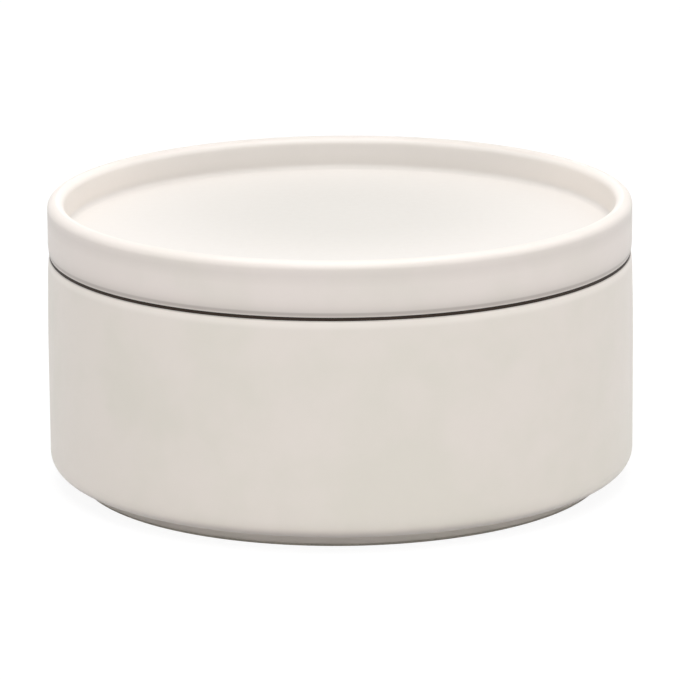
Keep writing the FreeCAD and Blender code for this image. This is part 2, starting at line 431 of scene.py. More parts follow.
class Graph:
    """A material's node tree, with short ways to add what the finishes need."""

    def __init__(self, name: str) -> None:
        """Start an empty tree with a surface shader and its output."""
        self.material = bpy.data.materials.new(name)
        self.material.use_nodes = True
        self.tree = self.material.node_tree
        self.tree.nodes.clear()
        self.shader = self.tree.nodes.new("ShaderNodeBsdfPrincipled")
        output = self.tree.nodes.new("ShaderNodeOutputMaterial")
        self.feed(self.shader.outputs["BSDF"], output.inputs["Surface"])
        self.place = self.tree.nodes.new("ShaderNodeTexCoord").outputs["Object"]

    def feed(self, value: Value, target: bpy.types.NodeSocket) -> None:
        """Give a socket what it needs.

        Args:
            value: another socket to join to it, a plain number, or three linear colour numbers.
            target: the socket.
        """
        if isinstance(value, tuple):
            target.default_value = (*value, 1.0)
        elif isinstance(value, (int, float)):
            target.default_value = value
        else:
            self.tree.links.new(value, target)

    def noise(self, noise: Noise) -> bpy.types.NodeSocket:
        """The value of a noise at each place."""
        node = self.tree.nodes.new("ShaderNodeTexNoise")
        self.feed(noise.scale, node.inputs["Scale"])
        self.feed(noise.detail, node.inputs["Detail"])
        self.feed(noise.roughness, node.inputs["Roughness"])
        self.feed(self.place, node.inputs["Vector"])
        return node.outputs["Fac"]

    def trait(self, trait: Trait) -> bpy.types.NodeSocket:
        """The value of a per-point attribute."""
        node = self.tree.nodes.new("ShaderNodeAttribute")
        node.attribute_name = trait.value
        return node.outputs["Fac"]

    def remap(self, value: bpy.types.NodeSocket, ramp: Ramp, least: float = 0.0,
              most: float = 1.0) -> bpy.types.NodeSocket:
        """Turn a value into another by a smooth step.

        Args:
            value: the value.
            ramp: the values between which the result changes.
            least: the result up to the ramp's start.
            most: the result from its end.

        Returns:
            The result.
        """
        node = self.tree.nodes.new("ShaderNodeMapRange")
        node.interpolation_type = "SMOOTHSTEP"
        self.feed(value, node.inputs["Value"])
        self.feed(ramp.start, node.inputs["From Min"])
        self.feed(ramp.end, node.inputs["From Max"])
        self.feed(least, node.inputs["To Min"])
        self.feed(most, node.inputs["To Max"])
        return node.outputs["Result"]

    def math(self, operation: str, first: Value, second: Value) -> bpy.types.NodeSocket:
        """One sum on two values, each a socket or a plain number."""
        node = self.tree.nodes.new("ShaderNodeMath")
        node.operation = operation
        self.feed(first, node.inputs[0])
        self.feed(second, node.inputs[1])
        return node.outputs["Value"]

    def mix(self, blend: Blend, share: Value, first: Value, second: Value) -> bpy.types.NodeSocket:
        """Blend two values.

        Args:
            blend: what they are.
            share: how much of the second comes in, from 0 to 1.
            first: the first value.
            second: the second value.

        Returns:
            The blend.
        """
        data_type, first_input, second_input, output = blend.value
        node = self.tree.nodes.new("ShaderNodeMix")
        node.data_type = data_type
        self.feed(share, node.inputs[0])
        self.feed(first, node.inputs[first_input])
        self.feed(second, node.inputs[second_input])
        return node.outputs[output]

    def bump(self, height: bpy.types.NodeSocket, depth: float) -> bpy.types.NodeSocket:
        """Turn a height into a surface normal.

        Args:
            height: the height, as a share of the depth.
            depth: how deep a height of 1 is, in metres.

        Returns:
            The normal.
        """
        node = self.tree.nodes.new("ShaderNodeBump")
        self.feed(1.0, node.inputs["Strength"])
        self.feed(depth, node.inputs["Distance"])
        self.feed(height, node.inputs["Height"])
        return node.outputs["Normal"]


def linear(red: float, green: float, blue: float) -> Colour:
    """A screen colour from 0 to 255 as the linear colour that a shader takes, by the sRGB curve."""
    share = np.array([red, green, blue]) / 255
    value = np.where(share <= 0.04045, share / 12.92, ((share + 0.055) / 1.055) ** 2.4)
    return tuple(value.tolist())


@dataclass(frozen=True)
class SatinGlaze:
    """A warm off-white satin glaze on pale stoneware.

    Attributes:
        name: the material's name.
        glaze: the glaze where it lies at its usual thickness.
        shade: the glaze in the darker parts of its faint clouding.
        lit_tint: whiter, less yellow glaze on the lid's tray, a painted wash for its brightly lit colour.
        greyed: greyer glaze, in the jar's hollows and as painted shade on the lid's tray and in its corner.
        edge: a lighter colour, painted highlight on outer edges, the jar's lip and the tray's side walls.
        painted_shade: a darker grey, painted shade on the jar's rim and lower corner and the lid's edges and
            corner.
        clay: bare, wiped clay.
        grain_tone: the clay's darker grains, as a share of the clay's own colour.
        gloss: roughness of the glaze.
        gloss_spread: how far that roughness wanders to either side.
        matt: roughness of the bare clay.
        cloud: the clouding.
        cloud_ramp: values of the clouding over which the glaze turns to its shade.
        edge_ramp: values of the edge trait over which it turns to its edge colour.
        satin: the wandering of the roughness.
        satin_ramp: its values over which the roughness changes.
        peel: the fine part of the glaze's orange-peel relief.
        swell: the broad part of that relief.
        peel_share: share of the fine part, the broad part having the rest.
        grain: the clay's grains.
        grain_ramp: values of the grains over which the clay turns darker.
        grain_height: height of the grains, as a share of the relief.
        relief: depth of the glaze's relief, in metres.
    """

    name: str
    glaze: Colour = linear(234, 226, 218)
    shade: Colour = linear(229, 223, 213)
    # Painted light: a whiter, less yellow colour for the brightly lit tray
    lit_tint: Colour = linear(232, 227, 222)
    # Greyer glaze, also the painted shade on the lid's tray
    greyed: Colour = linear(216, 212, 206)
    # Painted highlight: the lighter colour laid on edges, the lip and the tray's side walls
    edge: Colour = linear(250, 243, 236)
    # Painted shade: the darker grey laid where shade falls on the glaze
    painted_shade: Colour = linear(179, 170, 164)
    clay: Colour = linear(219, 212, 200)
    grain_tone: float = 0.86
    gloss: float = 0.42
    gloss_spread: float = 0.03
    matt: float = 0.88
    cloud: Noise = Noise(38, 3, 0.55)
    cloud_ramp: Ramp = Ramp(0.35, 0.68)
    edge_ramp: Ramp = Ramp(0.15, 0.9)
    satin: Noise = Noise(520, 2, 0.5)
    satin_ramp: Ramp = Ramp(0.3, 0.7)
    peel: Noise = Noise(430, 2, 0.4)
    swell: Noise = Noise(95, 1, 0.5)
    peel_share: float = 0.35
    grain: Noise = Noise(1900, 4, 0.65)
    grain_ramp: Ramp = Ramp(0.4, 0.62)
    grain_height: float = 2.0
    relief: float = 0.04 * MM

    def build(self) -> bpy.types.Material:
        """Make it: clouding, greying, painted wash, highlight and shade, orange-peel relief, bare clay
        grain.
        """
        graph = Graph(self.name)
        inputs = graph.shader.inputs
        grain = graph.noise(self.grain)
        bare = graph.trait(Trait.BARE)
        clay = self._clay_colour(graph, grain)
        graph.feed(graph.mix(Blend.COLOUR, bare, self._glaze_colour(graph), clay), inputs["Base Color"])
        least, most = self.gloss - self.gloss_spread, self.gloss + self.gloss_spread
        satin = graph.remap(graph.noise(self.satin), self.satin_ramp, least, most)
        graph.feed(graph.mix(Blend.NUMBER, bare, satin, self.matt), inputs["Roughness"])
        peel = graph.math("MULTIPLY", graph.noise(self.peel), self.peel_share)
        swell = graph.math("MULTIPLY", graph.noise(self.swell), 1 - self.peel_share)
        grains = graph.math("MULTIPLY", grain, self.grain_height)
        height = graph.mix(Blend.NUMBER, bare, graph.math("ADD", peel, swell), grains)
        graph.feed(graph.bump(height, self.relief), inputs["Normal"])
        return graph.material

    def _glaze_colour(self, graph: Graph) -> bpy.types.NodeSocket:
        """The glaze's colour: its clouding first, and then one layer over the other for each trait."""
        cloud = graph.remap(graph.noise(self.cloud), self.cloud_ramp)
        edge = graph.remap(graph.trait(Trait.EDGE_WEAR_AND_HIGHLIGHT), self.edge_ramp)
        # The layers: the tray's painted wash, greyer glaze that on the tray is painted shade, painted
        # highlight, painted shade
        layers = [
            (graph.trait(Trait.TRAY_TINT), self.lit_tint),
            (graph.trait(Trait.GREYED), self.greyed),
            (edge, self.edge),
            (graph.trait(Trait.PAINTED_SHADE), self.painted_shade),
        ]
        colour = graph.mix(Blend.COLOUR, cloud, self.glaze, self.shade)
        for share, layer in layers:
            colour = graph.mix(Blend.COLOUR, share, colour, layer)
        return colour

    def _clay_colour(self, graph: Graph, grain: bpy.types.NodeSocket) -> bpy.types.NodeSocket:
        """The bare clay's colour, darker in its grains."""
        dark = tuple(self.grain_tone * channel for channel in self.clay)
        return graph.mix(Blend.COLOUR, graph.remap(grain, self.grain_ramp), self.clay, dark)


@dataclass(frozen=True)
class DarkSilicone:
    """Matt dark brown silicone with a faint bloom, near-black so that it also paints in part of the shade in
    the gap between lid and jar.

    Attributes:
        name: the material's name.
        deep: the silicone itself, near-black, partly painted shade for the gap between lid and jar.
        bloom: where handling has left it a little paler.
        gloss: roughness.
        gloss_spread: how far that roughness wanders to either side.
        shine: strength of the reflection seen head on.
        patch: the patches of the bloom.
        patch_ramp: values of the patches over which the bloom comes in.
        patch_most: the most bloom in a patch.
        worn_ramp: values of the edge trait over which the bloom comes in.
        worn_most: the most bloom on an edge.
        haze: the wandering of the roughness.
        haze_ramp: its values over which the roughness changes.
        grain: the moulded grain.
        relief: depth of that grain, in metres.
    """

    name: str
    # Near-black, so that it also paints in part of the shade in the gap between lid and jar
    deep: Colour = linear(42, 31, 23)
    bloom: Colour = linear(52, 41, 32)
    gloss: float = 0.6
    gloss_spread: float = 0.05
    shine: float = 0.25
    patch: Noise = Noise(120, 3, 0.6)
    patch_ramp: Ramp = Ramp(0.4, 0.75)
    patch_most: float = 0.6
    worn_ramp: Ramp = Ramp(0.3, 1.0)
    worn_most: float = 0.5
    haze: Noise = Noise(900, 2, 0.5)
    haze_ramp: Ramp = Ramp(0.3, 0.7)
    grain: Noise = Noise(3200, 2, 0.5)
    relief: float = 0.01 * MM

    def build(self) -> bpy.types.Material:
        """Make the material: patchy bloom, paler edges and a fine moulded grain."""
        graph = Graph(self.name)
        inputs = graph.shader.inputs
        patch = graph.remap(graph.noise(self.patch), self.patch_ramp, 0.0, self.patch_most)
        worn = graph.remap(graph.trait(Trait.EDGE_WEAR_AND_HIGHLIGHT), self.worn_ramp, 0.0, self.worn_most)
        share = graph.math("MAXIMUM", patch, worn)
        graph.feed(graph.mix(Blend.COLOUR, share, self.deep, self.bloom), inputs["Base Color"])
        least, most = self.gloss - self.gloss_spread, self.gloss + self.gloss_spread
        graph.feed(graph.remap(graph.noise(self.haze), self.haze_ramp, least, most), inputs["Roughness"])
        graph.feed(graph.bump(graph.noise(self.grain), self.relief), inputs["Normal"])
        graph.feed(self.shine, inputs["Specular IOR Level"])
        return graph.material


def dress(piece: bpy.types.Object, material: bpy.types.Material, node: Node, body: Body) -> None:
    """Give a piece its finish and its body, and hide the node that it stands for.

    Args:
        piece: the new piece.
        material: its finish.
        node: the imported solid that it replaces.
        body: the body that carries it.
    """
    piece.data.materials.append(material)
    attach(piece, body.value)
    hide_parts(node.value)


@dataclass
class Jar:
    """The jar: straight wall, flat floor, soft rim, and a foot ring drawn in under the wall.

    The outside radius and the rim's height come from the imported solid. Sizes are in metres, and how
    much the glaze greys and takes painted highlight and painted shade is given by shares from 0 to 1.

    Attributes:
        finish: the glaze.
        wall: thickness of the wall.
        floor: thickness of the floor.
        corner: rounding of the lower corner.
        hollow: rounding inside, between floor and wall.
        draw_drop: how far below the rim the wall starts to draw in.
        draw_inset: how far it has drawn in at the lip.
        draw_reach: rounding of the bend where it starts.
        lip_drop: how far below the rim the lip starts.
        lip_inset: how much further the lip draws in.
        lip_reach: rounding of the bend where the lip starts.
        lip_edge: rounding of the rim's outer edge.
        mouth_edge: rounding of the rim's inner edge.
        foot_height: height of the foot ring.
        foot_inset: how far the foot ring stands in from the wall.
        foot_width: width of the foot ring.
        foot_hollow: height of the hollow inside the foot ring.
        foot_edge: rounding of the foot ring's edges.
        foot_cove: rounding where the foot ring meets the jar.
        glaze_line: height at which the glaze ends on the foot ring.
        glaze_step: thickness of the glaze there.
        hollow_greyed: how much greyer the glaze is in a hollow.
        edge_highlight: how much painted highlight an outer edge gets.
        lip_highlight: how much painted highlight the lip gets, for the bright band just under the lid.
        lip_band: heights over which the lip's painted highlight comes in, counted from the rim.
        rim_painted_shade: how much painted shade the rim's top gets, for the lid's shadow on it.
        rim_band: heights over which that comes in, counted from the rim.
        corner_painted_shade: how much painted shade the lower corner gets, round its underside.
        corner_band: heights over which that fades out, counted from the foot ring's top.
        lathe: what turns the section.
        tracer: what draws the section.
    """

    finish: SatinGlaze = SatinGlaze("jar_satin_glaze")
    # The shape
    wall: float = 5.0 * MM
    floor: float = 5.0 * MM
    corner: float = 5.0 * MM
    hollow: float = 8.0 * MM
    draw_drop: float = 17.0 * MM
    draw_inset: float = 0.38 * MM
    draw_reach: float = 8.0 * MM
    lip_drop: float = 2.4 * MM
    lip_inset: float = 0.3 * MM
    lip_reach: float = 1.0 * MM
    lip_edge: float = 0.6 * MM
    mouth_edge: float = 1.0 * MM
    foot_height: float = 3.5 * MM
    foot_inset: float = 7.62 * MM
    foot_width: float = 6.0 * MM
    foot_hollow: float = 2.2 * MM
    foot_edge: float = 0.8 * MM
    foot_cove: float = 0.7 * MM
    glaze_line: float = 0.9 * MM
    glaze_step: float = 0.12 * MM
    # How the glaze lies: greyer in hollows, with painted highlight and painted shade
    hollow_greyed: float = 0.5
    edge_highlight: float = 0.41
    lip_highlight: float = 0.53
    lip_band: Ramp = Ramp(-3.6 * MM, -1.08 * MM)
    rim_painted_shade: float = 0.7
    rim_band: Ramp = Ramp(-0.6 * MM, -0.2 * MM)
    corner_painted_shade: float = 1.0
    corner_band: Ramp = Ramp(0.4 * MM, 3.5 * MM)
    # How the mesh is made
    lathe: Lathe = Lathe()
    tracer: Tracer = Tracer()

    def outline(self) -> Outline:
        """The section from the underside round the foot, wall and rim to the floor inside."""
        solid = Node.JAR.solid()
        outer, rim = solid.radius, solid.top
        foot_out = outer - self.foot_inset
        foot_in = foot_out - self.foot_width
        mouth = outer - self.wall
        neck = outer - self.draw_inset
        floor = self.foot_hollow + self.floor
        line, wiped = self.glaze_line, self.glaze_step
        return self.tracer.trace([
            Corner(0.0, self.foot_hollow),
            Corner(foot_in, self.foot_hollow, self.foot_cove),
            Corner(foot_in, line, wiped),
            Corner(foot_in + wiped, line - wiped, wiped),
            Corner(foot_in + wiped, 0.0, self.foot_edge),
            Corner(foot_out - wiped, 0.0, self.foot_edge),
            Corner(foot_out - wiped, line - wiped, wiped),
            Corner(foot_out, line, wiped),
            Corner(foot_out, self.foot_height, self.foot_cove),
            Corner(outer, self.foot_height, self.corner),
            Corner(outer, rim - self.draw_drop, self.draw_reach),
            Corner(neck, rim - self.lip_drop, self.lip_reach),
            Corner(neck - self.lip_inset, rim, self.lip_edge),
            Corner(mouth, rim, self.mouth_edge),
            Corner(mouth, floor, self.hollow),
            Corner(0.0, floor),
        ])

    def bare(self, outline: Outline) -> np.ndarray:
        """How far the clay is bare at each outline point.

        It is 1 below the glaze line and from the foot ring's inner face outwards, and 0 elsewhere, with a
        smooth change over the step in the glaze.
        """
        foot_in = Node.JAR.solid().radius - self.foot_inset - self.foot_width
        below_line = Ramp(-2 * self.glaze_step, 0.0).down(outline.height, self.glaze_line)
        return below_line * Ramp(-self.glaze_step, 0.0).up(outline.radius, foot_in)

    def painted_highlight(self, outline: Outline) -> np.ndarray:
        """How much painted highlight each outline point gets: the larger of outer edge and lip."""
        # Painted highlight on the lip, for the bright band just under the lid
        lip = self.lip_band.up(outline.height, Node.JAR.solid().top)
        return np.maximum(self.edge_highlight * outline.edges, self.lip_highlight * lip)

    def painted_shade(self, outline: Outline) -> np.ndarray:
        """How much painted shade each outline point gets: the larger of rim and lower corner."""
        solid = Node.JAR.solid()
        past_mouth = outline.radius > solid.radius - self.wall
        # Painted shade on the rim's top, where the lid's shadow falls
        rim = self.rim_painted_shade * self.rim_band.up(outline.height, solid.top) * past_mouth
        past_foot = outline.radius > solid.radius - self.foot_inset + self.foot_cove
        # Painted shade round the underside of the lower corner
        low = self.corner_painted_shade * self.corner_band.down(outline.height, self.foot_height) * past_foot
        return np.maximum(rim, low)

    def build(self) -> bpy.types.Object:
        """Make the jar and dress it."""
        outline = self.outline()
        # Greyer glaze in the hollows, painted highlight on the edges and lip, and painted shade on the rim
        # and lower corner
        traits = {
            Trait.BARE: self.bare(outline),
            Trait.EDGE_WEAR_AND_HIGHLIGHT: self.painted_highlight(outline),
            Trait.GREYED: self.hollow_greyed * outline.hollows,
            Trait.TRAY_TINT: np.zeros(len(outline.points)),
            Trait.PAINTED_SHADE: self.painted_shade(outline),
        }
        piece = self.lathe.spin("glazed_jar", outline, traits)
        dress(piece, self.finish.build(), Node.JAR, Body.JAR)
        return piece


@dataclass
class Lid:
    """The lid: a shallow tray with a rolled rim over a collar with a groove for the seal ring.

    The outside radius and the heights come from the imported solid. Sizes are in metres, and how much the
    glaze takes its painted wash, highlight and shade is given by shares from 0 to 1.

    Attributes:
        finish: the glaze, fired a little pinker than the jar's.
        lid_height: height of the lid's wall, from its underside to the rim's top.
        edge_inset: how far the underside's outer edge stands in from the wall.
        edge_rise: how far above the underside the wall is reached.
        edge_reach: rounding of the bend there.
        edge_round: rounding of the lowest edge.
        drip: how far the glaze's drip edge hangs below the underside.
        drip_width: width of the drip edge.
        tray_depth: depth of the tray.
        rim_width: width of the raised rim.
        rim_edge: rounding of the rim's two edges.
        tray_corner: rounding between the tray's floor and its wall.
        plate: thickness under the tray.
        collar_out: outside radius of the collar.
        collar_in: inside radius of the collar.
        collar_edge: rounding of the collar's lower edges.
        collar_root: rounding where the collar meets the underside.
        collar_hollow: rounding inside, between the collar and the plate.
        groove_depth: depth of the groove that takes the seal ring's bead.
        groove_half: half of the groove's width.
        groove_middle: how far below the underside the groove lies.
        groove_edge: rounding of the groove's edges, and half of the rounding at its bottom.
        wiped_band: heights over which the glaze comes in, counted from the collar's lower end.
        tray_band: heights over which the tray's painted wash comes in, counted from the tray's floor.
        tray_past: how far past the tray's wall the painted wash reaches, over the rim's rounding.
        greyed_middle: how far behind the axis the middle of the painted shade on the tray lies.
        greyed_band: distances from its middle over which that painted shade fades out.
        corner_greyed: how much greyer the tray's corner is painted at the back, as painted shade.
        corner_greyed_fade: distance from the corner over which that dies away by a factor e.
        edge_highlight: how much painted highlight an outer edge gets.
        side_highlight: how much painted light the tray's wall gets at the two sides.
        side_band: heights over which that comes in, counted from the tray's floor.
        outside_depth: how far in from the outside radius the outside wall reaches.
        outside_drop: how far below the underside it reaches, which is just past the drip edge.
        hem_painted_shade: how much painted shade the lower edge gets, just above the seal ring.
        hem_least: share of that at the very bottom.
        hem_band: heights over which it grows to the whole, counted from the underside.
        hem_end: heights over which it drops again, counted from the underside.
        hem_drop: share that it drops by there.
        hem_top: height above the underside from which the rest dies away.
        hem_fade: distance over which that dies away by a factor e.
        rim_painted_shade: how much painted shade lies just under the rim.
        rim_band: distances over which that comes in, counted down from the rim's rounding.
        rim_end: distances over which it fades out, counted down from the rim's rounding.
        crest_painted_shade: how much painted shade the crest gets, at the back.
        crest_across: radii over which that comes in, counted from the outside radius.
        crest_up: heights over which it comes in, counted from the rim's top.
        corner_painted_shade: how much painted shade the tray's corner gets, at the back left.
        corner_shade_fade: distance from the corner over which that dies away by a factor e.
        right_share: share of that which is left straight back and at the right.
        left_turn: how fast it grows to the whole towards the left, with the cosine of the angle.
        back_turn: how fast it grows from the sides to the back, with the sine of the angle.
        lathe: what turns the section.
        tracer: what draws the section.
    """

    finish: SatinGlaze = SatinGlaze(
        "lid_satin_glaze",
        glaze=linear(235, 226, 220),
        shade=linear(230, 223, 215),
    )
    # The shape
    lid_height: float = 14.1 * MM
    edge_inset: float = 0.35 * MM
    edge_rise: float = 1.7 * MM
    edge_reach: float = 1.5 * MM
    edge_round: float = 0.14 * MM
    drip: float = 0.18 * MM
    drip_width: float = 0.42 * MM
    tray_depth: float = 8.7 * MM
    rim_width: float = 4.5 * MM
    rim_edge: float = 2.1 * MM
    tray_corner: float = 1.5 * MM
    plate: float = 4.8 * MM
    collar_out: float = 68.9 * MM
    collar_in: float = 64.4 * MM
    collar_edge: float = 1.2 * MM
    collar_root: float = 0.6 * MM
    collar_hollow: float = 1.5 * MM
    groove_depth: float = 1.0 * MM
    groove_half: float = 1.6 * MM
    groove_middle: float = 4.7 * MM
    groove_edge: float = 0.15 * MM
    # Where the glaze ends, the tray's painted wash and painted shade, and painted highlight on edges and
    # side walls
    wiped_band: Ramp = Ramp(0.25 * MM, 0.6 * MM)
    tray_band: Ramp = Ramp(-0.3 * MM, 0.0)
    tray_past: float = 0.5 * MM
    greyed_middle: float = 16.0 * MM
    greyed_band: Ramp = Ramp(14.0 * MM, 72.0 * MM)
    corner_greyed: float = 0.85
    corner_greyed_fade: float = 2.5 * MM
    edge_highlight: float = 0.45
    side_highlight: float = 0.9
    side_band: Ramp = Ramp(0.2 * MM, 2.0 * MM)
    # Painted shade on the outside wall: at its lower edge and under the rim
    outside_depth: float = 2.0 * MM
    outside_drop: float = 0.3 * MM
    hem_painted_shade: float = 0.9
    hem_least: float = 0.55
    hem_band: Ramp = Ramp(0.0, 0.45 * MM)
    hem_end: Ramp = Ramp(0.85 * MM, 1.25 * MM)
    hem_drop: float = 0.5
    hem_top: float = 1.2 * MM
    hem_fade: float = 1.3 * MM
    rim_painted_shade: float = 0.16
    rim_band: Ramp = Ramp(-0.6 * MM, 0.4 * MM)
    rim_end: Ramp = Ramp(1.0 * MM, 5.0 * MM)
    # Painted shade at the back: on the crest and in the tray's corner
    crest_painted_shade: float = 0.25
    crest_across: Ramp = Ramp(-4.1 * MM, -3.4 * MM)
    crest_up: Ramp = Ramp(-1.2 * MM, -0.4 * MM)
    corner_painted_shade: float = 0.27
    corner_shade_fade: float = 3.0 * MM
    right_share: float = 0.45
    left_turn: float = 1.8
    back_turn: float = 1.5
    # How the mesh is made
    lathe: Lathe = Lathe()
    tracer: Tracer = Tracer()

    def outline(self) -> Outline:
        """The section from the plate's underside round collar, groove, edge and rim to the tray's floor."""
        solid = Node.LID.solid()
        outer, top, end = solid.radius, solid.top, solid.bottom
        under = top - self.lid_height
        hem = outer - self.edge_inset
        tray = top - self.tray_depth
        ceiling = tray - self.plate
        groove = under - self.groove_middle
        return self.tracer.trace([
            Corner(0.0, ceiling),
            Corner(self.collar_in, ceiling, self.collar_hollow),
            Corner(self.collar_in, end, self.collar_edge),
            Corner(self.collar_out, end, self.collar_edge),
            Corner(self.collar_out, groove - self.groove_half, self.groove_edge),
            Corner(self.collar_out - self.groove_depth, groove, 2 * self.groove_edge),
            Corner(self.collar_out, groove + self.groove_half, self.groove_edge),
            Corner(self.collar_out, under, self.collar_root),
            Corner(hem - self.drip_width, under, self.edge_round / 2),
            Corner(hem - self.drip_width, under - self.drip, self.edge_round / 2),
            Corner(hem, under - self.drip, self.edge_round),
            Corner(outer, under + self.edge_rise, self.edge_reach),
            Corner(outer, top, self.rim_edge),
            Corner(outer - self.rim_width, top, self.rim_edge),
            Corner(outer - self.rim_width, tray, self.tray_corner),
            Corner(0.0, tray),
        ])

    def bare(self, outline: Outline) -> np.ndarray:
        """How far the clay is bare at each outline point: at the collar's lower end."""
        return self.wiped_band.down(outline.height, Node.LID.solid().bottom)

    def on_tray(self, outline: Outline) -> np.ndarray:
        """Where the tray's painted wash lies, at each outline point: 1 on the tray and up its wall, 0
        elsewhere.
        """
        solid = Node.LID.solid()
        inside = outline.radius < solid.radius - self.rim_width + self.tray_past
        return self.tray_band.up(outline.height, solid.top - self.tray_depth) * inside

    def greyed(self, outline: Outline) -> np.ndarray:
        """How much painted shade greys the tray, at each outline point and angle.

        On the tray it is 1 near a point a little behind the axis and falls smoothly to 0. The distance from
        that point, which lies at greyed_middle along Y, is the third side of a triangle whose other two are
        the radius and greyed_middle. The tray's corner is painted greyer too, as painted shade at the back,
        which falls round to the sides as the square of the sine of the angle.
        """
        on_tray = self.on_tray(outline)
        # Painted shade: a greyer patch a little behind the middle of the tray
        across = 2 * outline.radius[:, None] * self.greyed_middle * np.sin(self.lathe.angles())
        square = outline.radius[:, None] ** 2 + self.greyed_middle ** 2 - across
        tray = self.greyed_band.down(np.sqrt(np.maximum(square, 0.0))) * on_tray[:, None]
        # Painted shade: the tray's corner greyer towards the back
        near = np.exp(-self._from_corner(outline) / self.corner_greyed_fade) * (on_tray > 0)
        return np.maximum(tray, self.corner_greyed * np.outer(near, self._to_back() ** 2))

    def painted_highlight(self, outline: Outline) -> np.ndarray:
        """How much painted highlight the glaze gets, at each outline point and angle.

        On outer edges it follows how sharply the outline turns. On the tray's wall it grows to
        side_highlight at the two sides, as the square of the cosine of the angle, as painted light on those
        walls.
        """
        solid = Node.LID.solid()
        on_wall = outline.radius < solid.radius - self.rim_width / 2
        on_wall &= outline.radius > solid.radius - self.rim_width - self.tray_corner
        wall = self.side_band.up(outline.height, solid.top - self.tray_depth) * on_wall
        # Painted light on the tray's wall at the two sides
        sides = self.side_highlight * np.outer(wall, np.cos(self.lathe.angles()) ** 2)
        return np.maximum(self.edge_highlight * outline.edges[:, None], sides)

    def painted_shade(self, outline: Outline) -> np.ndarray:
        """How much painted shade lies at each outline point and angle.

        The outside is the same all round, and the crest grows to crest_painted_shade at the back, as the
        square of the sine of the angle. The tray's corner is worked out by itself. The largest of the three
        counts.
        """
        # Painted shade on the outside wall, and on the crest at the back
        outside = np.maximum(self._hem(outline), self._under_rim(outline)) * self._on_outside(outline)
        crest = self.crest_painted_shade * np.outer(self._crest(outline), self._to_back() ** 2)
        return np.maximum(np.maximum(outside[:, None], crest), self._tray_corner_shade(outline))

    def _to_back(self) -> np.ndarray:
        """How far each step round faces the back: the sine of its angle, and 0 in the front half."""
        return np.clip(np.sin(self.lathe.angles()), 0.0, 1.0)

    def _from_corner(self, outline: Outline) -> np.ndarray:
        """The distance of each outline point from the tray's corner."""
        solid = Node.LID.solid()
        across = outline.radius - (solid.radius - self.rim_width)
        return np.hypot(across, outline.height - (solid.top - self.tray_depth))

    def _on_outside(self, outline: Outline) -> np.ndarray:
        """Whether each outline point lies on the outside wall or the drip edge under it."""
        solid = Node.LID.solid()
        low = solid.top - self.lid_height - self.outside_drop
        return (outline.radius > solid.radius - self.outside_depth) & (outline.height > low)

    def _hem(self, outline: Outline) -> np.ndarray:
        """How much painted shade lies at the height of each outline point, above the lower edge.

        It grows over hem_band, drops over hem_end, and above hem_top dies away by a factor e for each
        hem_fade.
        """
        up = outline.height - (Node.LID.solid().top - self.lid_height)
        grown = self.hem_least + (1 - self.hem_least) * self.hem_band.up(up)
        end = 1 - self.hem_drop * self.hem_end.up(up)
        fade = np.exp(-np.maximum(up - self.hem_top, 0.0) / self.hem_fade)
        return self.hem_painted_shade * grown * end * fade

    def _under_rim(self, outline: Outline) -> np.ndarray:
        """How much painted shade lies at the height of each outline point, below the rim's rounding.

        It comes in over rim_band and fades out again over rim_end.
        """
        down = Node.LID.solid().top - self.rim_edge - outline.height
        return self.rim_painted_shade * self.rim_band.up(down) * self.rim_end.down(down)

    def _crest(self, outline: Outline) -> np.ndarray:
        """How far each outline point lies on the rim's crest or outside it, by its radius and its height."""
        solid = Node.LID.solid()
        across = self.crest_across.up(outline.radius, solid.radius)
        return across * self.crest_up.up(outline.height, solid.top)

    def _tray_corner_shade(self, outline: Outline) -> np.ndarray:
        """How much painted shade lies in the tray's corner, at each outline point and angle.

        In the corner itself it is corner_painted_shade at the back left and right_share of that straight
        back and at the right. It dies away by a factor e for each corner_shade_fade, and falls to nothing at
        the sides.
        """
        # Painted shade in the tray's corner, strongest at the back left
        left = np.clip(-self.left_turn * np.cos(self.lathe.angles()), 0.0, 1.0)
        back = np.clip(self.back_turn * np.sin(self.lathe.angles()), 0.0, 1.0)
        share = self.right_share + (1 - self.right_share) * left
        near = np.exp(-self._from_corner(outline) / self.corner_shade_fade) * (self.on_tray(outline) > 0)
        return self.corner_painted_shade * np.outer(near, share * back)

    def build(self) -> bpy.types.Object:
        """Make the lid and dress it."""
        outline = self.outline()
        # Painted highlight on edges and side walls, the tray's painted wash, and painted shade on tray,
        # outside, crest and corner
        traits = {
            Trait.BARE: self.bare(outline),
            Trait.EDGE_WEAR_AND_HIGHLIGHT: self.painted_highlight(outline),
            Trait.TRAY_TINT: self.on_tray(outline),
            Trait.GREYED: self.greyed(outline),
            Trait.PAINTED_SHADE: self.painted_shade(outline),
        }
        piece = self.lathe.spin("glazed_lid", outline, traits)
        dress(piece, self.finish.build(), Node.LID, Body.LID)
        return piece


